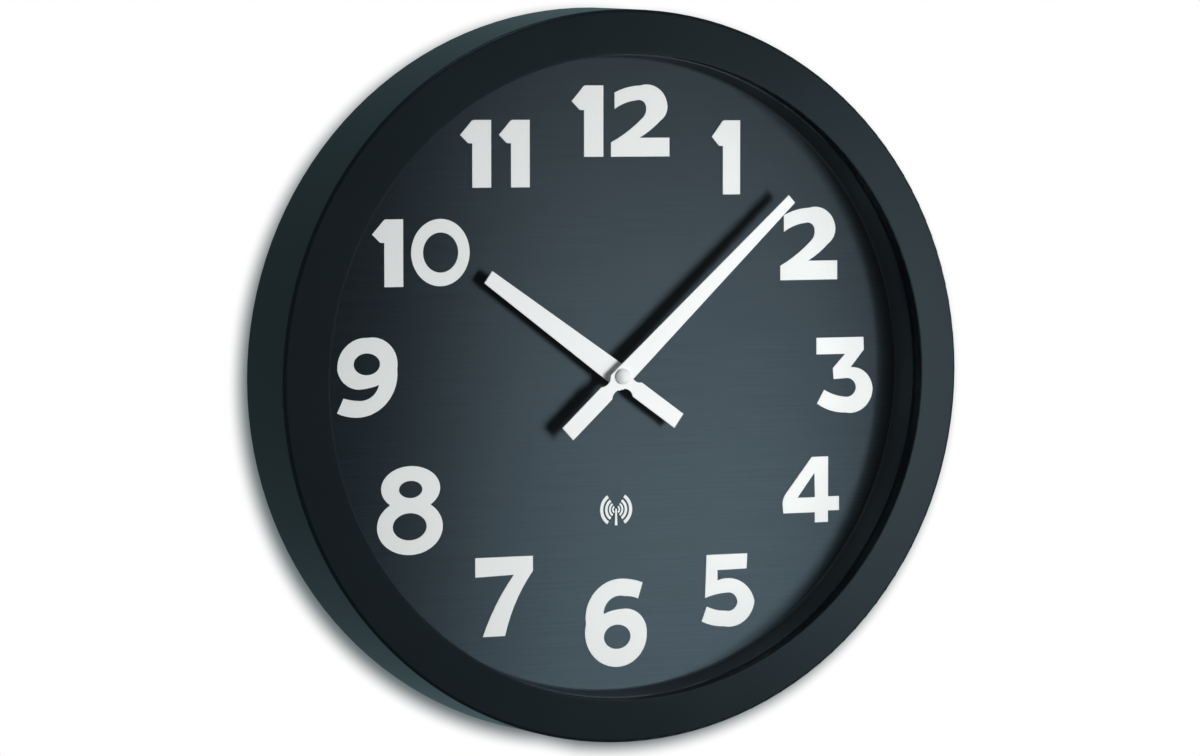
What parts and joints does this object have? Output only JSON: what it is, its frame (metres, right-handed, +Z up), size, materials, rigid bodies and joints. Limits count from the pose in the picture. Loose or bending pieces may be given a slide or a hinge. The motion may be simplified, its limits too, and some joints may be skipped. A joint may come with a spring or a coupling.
{
  "type": "wall clock",
  "caption": "Round radio-controlled wall clock with dark moulded case, brushed dial, white numerals and hands, a geared quartz movement behind the dial and a keyhole to hang it by.",
  "frame": {"origin": "on the axis of the hands, in the plane of the case's rear rim, which is the wall", "axes": "+Z up towards twelve o'clock, +X to the right as seen from the front, +Y from the dial into the wall"},
  "size_m": [0.3, 0.0437, 0.3],
  "materials": {
    "case_plastic": "satin moulded",
    "inner_plastic": "matte moulded",
    "glass": "polished clear",
    "dial_metal": "brushed, dark anodised",
    "print_white": "screen printed ink",
    "hand_white": "white lacquer",
    "cover_plastic": "fine grain moulded",
    "zinc_steel": "zinc plated",
    "movement_plastic": "moulded",
    "brass": "turned",
    "wheel_plastic": "moulded acetal",
    "soft_iron": "stamped",
    "magnet": "sintered",
    "copper_wire": "enamelled",
    "board": "solder mask",
    "chip_black": "epoxy",
    "ferrite": "sintered",
    "contact_nickel": "nickel plated strip",
    "battery_sleeve": "printed sleeve",
    "button_plastic": "moulded"
  },
  "bodies": {
    "case": {"case_frame": "case_plastic", "glass_lens": "glass", "spacer_ring": "inner_plastic", "dial_plate": "dial_metal", "hour_numerals": "print_white", "radio_symbol": "print_white", "dial_carrier": "inner_plastic", "rear_cover": "cover_plastic", "hanger_plate": "zinc_steel", "hanger_screws": "zinc_steel", "cover_screws": "zinc_steel", "movement_screws": "zinc_steel", "train_screws": "zinc_steel", "movement_front_case": "movement_plastic", "movement_rear_lid": "movement_plastic", "battery_tray": "movement_plastic", "centre_bush": "brass", "stator": "soft_iron", "coil_core": "soft_iron", "coil_bobbin": "wheel_plastic", "coil_winding": "copper_wire", "train_bridge": "wheel_plastic", "circuit_board": "board", "clock_chip": "chip_black", "quartz_crystal": "contact_nickel", "switch_domes": "contact_nickel", "antenna_rod": "ferrite", "antenna_coil": "copper_wire", "contact_positive": "contact_nickel", "contact_negative": "contact_nickel"},
    "minute": {"centre_wheel": "wheel_plastic", "minute_hand": "hand_white", "hand_cap": "hand_white"},
    "hour": {"hour_wheel": "wheel_plastic", "hour_hand": "hand_white"},
    "motion": {"motion_wheel": "wheel_plastic"},
    "third": {"third_wheel": "wheel_plastic"},
    "rotor": {"rotor_pinion": "wheel_plastic", "rotor_magnet": "magnet"},
    "battery": {"battery": "battery_sleeve"},
    "set_button": {"set_button": "button_plastic"},
    "receive_button": {"receive_button": "button_plastic"},
    "reset_button": {"reset_button": "button_plastic"}
  },
  "joints": [
    {"name": "minute_spin", "type": "hinge", "parent": "case", "child": "minute", "pos_m": [0, 0, 0], "axis": [0, 1, 0], "continuous": true},
    {"name": "hour_spin", "type": "hinge", "parent": "case", "child": "hour", "pos_m": [0, 0, 0], "axis": [0, 1, 0], "continuous": true},
    {"name": "motion_spin", "type": "hinge", "parent": "case", "child": "motion", "pos_m": [-0.00509, 0, -0.00509], "axis": [0, 1, 0], "continuous": true},
    {"name": "third_spin", "type": "hinge", "parent": "case", "child": "third", "pos_m": [0.01034, 0, 0.00376], "axis": [0, 1, 0], "continuous": true},
    {"name": "rotor_spin", "type": "hinge", "parent": "case", "child": "rotor", "pos_m": [0.019, 0, 0.00529], "axis": [0, 1, 0], "continuous": true},
    {"name": "battery_slide", "type": "slide", "parent": "case", "child": "battery", "axis": [0, 1, 0], "range_m": [0, 0.03]},
    {"name": "set_press", "type": "slide", "parent": "case", "child": "set_button", "axis": [0, -1, 0], "range_m": [0, 0.0008], "stiffness_N_per_m": 800, "springref_m": -0.001},
    {"name": "receive_press", "type": "slide", "parent": "case", "child": "receive_button", "axis": [0, -1, 0], "range_m": [0, 0.0008], "stiffness_N_per_m": 800, "springref_m": -0.001},
    {"name": "reset_press", "type": "slide", "parent": "case", "child": "reset_button", "axis": [0, -1, 0], "range_m": [0, 0.0008], "stiffness_N_per_m": 800, "springref_m": -0.001}
  ],
  "couplings": [
    {"joint": "hour_spin", "follows": "minute_spin", "ratio": 0.083333},
    {"joint": "motion_spin", "follows": "minute_spin", "ratio": -0.33333},
    {"joint": "third_spin", "follows": "minute_spin", "ratio": -10},
    {"joint": "rotor_spin", "follows": "minute_spin", "ratio": 90}
  ]
}
